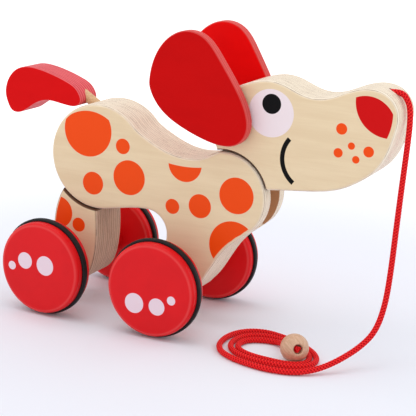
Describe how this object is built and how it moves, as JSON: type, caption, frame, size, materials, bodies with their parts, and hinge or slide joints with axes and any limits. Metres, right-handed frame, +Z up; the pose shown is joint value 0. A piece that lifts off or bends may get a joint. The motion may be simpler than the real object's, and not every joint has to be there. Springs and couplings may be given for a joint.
{
  "type": "pull-along toy dog",
  "caption": "Wooden toy dog on wheels, drawn along by a cord with a bead. Its head nods, its hind leg swings, and its ears and tail turn.",
  "frame": {"origin": "middle of the toy's box on the floor, the free cord left out", "axes": "+X towards the nose, +Y to the dog's left, +Z up"},
  "size_m": [0.3414, 0.1464, 0.2361],
  "materials": {
    "birch_ply": "clear satin varnish over birch, orange painted spots",
    "red_board": "satin red paint",
    "red_wheel": "satin red paint with pale spots",
    "rubber_ring": "matte black rubber",
    "dowel_wood": "plain turned wood",
    "plain_bead": "plain turned wood, waxed",
    "red_cord": "braided polyester"
  },
  "bodies": {
    "frame": {"body_core": "birch_ply", "body_side_right": "birch_ply", "body_side_left": "birch_ply", "hip_pin": "dowel_wood", "shoulder_pin": "dowel_wood"},
    "head": {"head_core": "birch_ply", "head_cheek_right": "birch_ply", "head_cheek_left": "birch_ply", "pull_cord": "red_cord", "pull_bead": "plain_bead", "cord_knot": "red_cord"},
    "ears": {"ear_dowel": "dowel_wood", "ear_right": "red_board", "ear_left": "red_board", "ear_washer_right": "dowel_wood", "ear_washer_left": "dowel_wood"},
    "rear_leg": {"rear_leg_core": "birch_ply", "rear_leg_side_right": "birch_ply", "rear_leg_side_left": "birch_ply"},
    "tail": {"tail": "red_board", "tail_dowel": "dowel_wood"},
    "front_wheels": {"front_axle": "dowel_wood", "front_wheel_right": "red_wheel", "front_wheel_left": "red_wheel", "front_tyre_right": "rubber_ring", "front_tyre_left": "rubber_ring", "front_sleeve_right": "dowel_wood", "front_sleeve_left": "dowel_wood"},
    "rear_wheels": {"rear_axle": "dowel_wood", "rear_wheel_right": "red_wheel", "rear_wheel_left": "red_wheel", "rear_tyre_right": "rubber_ring", "rear_tyre_left": "rubber_ring", "rear_sleeve_right": "dowel_wood", "rear_sleeve_left": "dowel_wood"}
  },
  "joints": [
    {"name": "head_nod", "type": "hinge", "parent": "frame", "child": "head", "pos_m": [0.034, 0, 0.1085], "axis": [0, -1, 0], "range_deg": [-14, 20]},
    {"name": "rear_leg_swing", "type": "hinge", "parent": "frame", "child": "rear_leg", "pos_m": [-0.076, 0, 0.125], "axis": [0, -1, 0], "range_deg": [-35, 10]},
    {"name": "ear_turn", "type": "hinge", "parent": "head", "child": "ears", "pos_m": [0.038, 0, 0.168], "axis": [0, -1, 0], "range_deg": [-45, 60]},
    {"name": "tail_turn", "type": "hinge", "parent": "frame", "child": "tail", "pos_m": [-0.09147, 0, 0.16426], "axis": [-0.8572, 0, 0.515], "range_deg": [-25, 25]},
    {"name": "front_axle_spin", "type": "hinge", "parent": "frame", "child": "front_wheels", "pos_m": [-0.0034, 0, 0.0388], "axis": [0, 1, 0], "continuous": true},
    {"name": "rear_axle_spin", "type": "hinge", "parent": "rear_leg", "child": "rear_wheels", "pos_m": [-0.0996, 0, 0.0388], "axis": [0.061, 0.9981, 0], "continuous": true}
  ]
}
